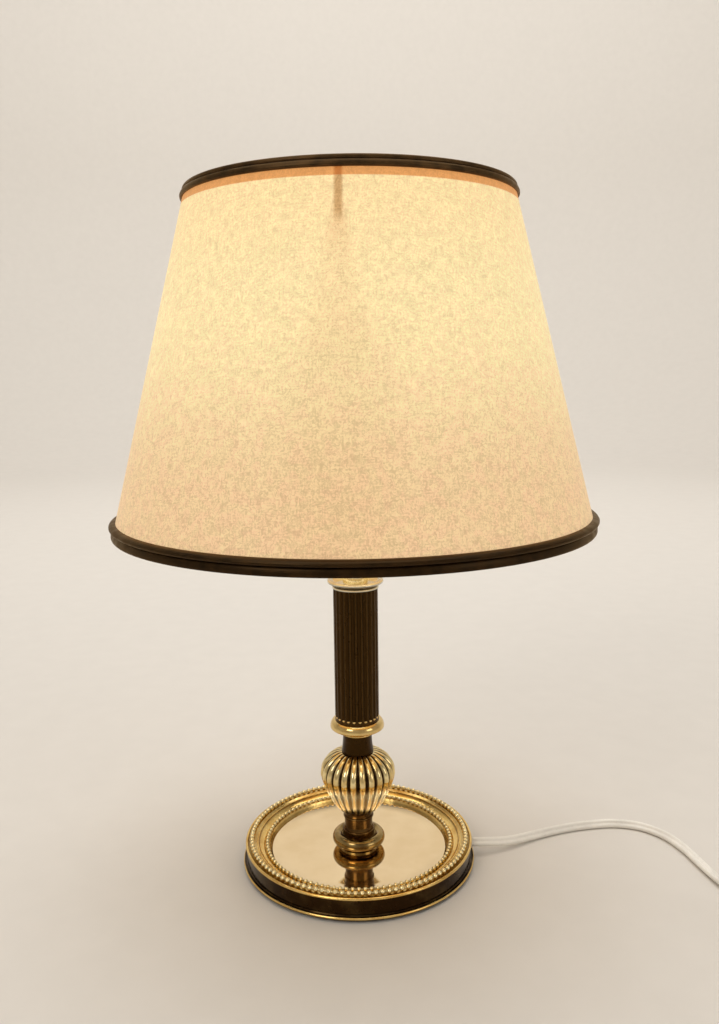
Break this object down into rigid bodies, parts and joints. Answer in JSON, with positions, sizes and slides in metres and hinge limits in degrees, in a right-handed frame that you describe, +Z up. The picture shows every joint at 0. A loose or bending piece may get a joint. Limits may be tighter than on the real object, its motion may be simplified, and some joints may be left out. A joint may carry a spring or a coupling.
{
  "type": "table lamp",
  "caption": "Brass table lamp with a beaded dish base, a gadrooned knop, a fluted column, a screw-in bulb, a tapered linen shade and a flat cord with a rocker switch and a plug.",
  "frame": {"origin": "middle of the base on the surface that the lamp stands on", "axes": "+Z up along the stem, -Y towards the viewer of the picture, the cord leaves the base along +X"},
  "size_m": [0.4771, 0.3764, 0.4274],
  "materials": {
    "felt": "napped",
    "base_brass": "polished with a dark patina",
    "bead_brass": "polished",
    "mirror_brass": "mirror polished",
    "polished_brass": "polished",
    "dark_brass": "dark patina, satin",
    "wire_brass": "plated wire",
    "iron": "rough",
    "steel": "zinc plated",
    "nickel": "nickel plated",
    "porcelain": "glazed",
    "opal_glass": "opal",
    "black_glass": "glossy",
    "linen": "laminated plain weave",
    "hem_tape": "glued tape",
    "dark_trim": "glossy",
    "white_cord": "smooth",
    "wire_insulation": "smooth",
    "tie_plastic": "smooth",
    "white_plastic": "moulded",
    "rocker_plastic": "moulded"
  },
  "bodies": {
    "lamp": {"felt_pad": "felt", "base_ring": "base_brass", "outer_beading": "bead_brass", "inner_beading": "bead_brass", "mirror_plate": "mirror_brass", "ballast_plate": "iron", "base_washer": "steel", "base_nut": "polished_brass", "cord_bush": "white_plastic", "tie_rod": "steel", "stem_foot": "polished_brass", "lower_neck": "polished_brass", "knop": "polished_brass", "upper_neck": "dark_brass", "column_collar": "polished_brass", "fluted_column": "dark_brass", "column_cup": "polished_brass", "riser_tube": "polished_brass", "holder_locknut": "polished_brass", "holder_cap": "polished_brass", "holder_insulator": "porcelain", "terminal_screws": "polished_brass", "centre_contact": "polished_brass", "screw_shell": "polished_brass", "holder_sleeve": "polished_brass", "shade_nut_lower": "polished_brass", "shade_nut_upper": "polished_brass", "cord_inner": "white_cord", "supply_wires": "wire_insulation", "cord_lead": "white_cord", "cord_tail": "white_cord", "cord_coil": "white_cord", "cord_end": "white_cord", "coil_tie": "tie_plastic", "switch_base": "white_plastic", "switch_cover": "white_plastic", "rocker_pin": "steel", "switch_screws": "steel", "plug_body": "white_plastic", "plug_pins": "nickel"},
    "bulb_foot": {"bulb_tip": "nickel", "bulb_insulator": "black_glass"},
    "bulb": {"bulb_globe": "opal_glass", "bulb_cap": "nickel"},
    "shade": {"shade_carrier": "wire_brass", "shade_top_wire": "wire_brass", "shade_bottom_wire": "wire_brass", "shade_fabric": "linen", "shade_hem_tape": "hem_tape", "shade_top_trim": "dark_trim", "shade_bottom_trim": "dark_trim"},
    "rocker": {"switch_rocker": "rocker_plastic"}
  },
  "joints": [
    {"name": "bulb_rise", "type": "slide", "parent": "lamp", "child": "bulb_foot", "axis": [0, 0, 1], "range_m": [0, 0.02178]},
    {"name": "bulb_turn", "type": "hinge", "parent": "bulb_foot", "child": "bulb", "pos_m": [0, 0, 0.275], "axis": [0, 0, 1], "range_deg": [0, 2160]},
    {"name": "shade_turn", "type": "hinge", "parent": "lamp", "child": "shade", "pos_m": [0, 0, 0.29], "axis": [0, 0, 1], "continuous": true},
    {"name": "rocker_tilt", "type": "hinge", "parent": "lamp", "child": "rocker", "pos_m": [0.233, -0.103, 0.0138], "axis": [1, 0, 0], "range_deg": [-14, 0]}
  ],
  "couplings": [
    {"joint": "bulb_turn", "follows": "bulb_rise", "rad_per_m": 1730.9}
  ]
}
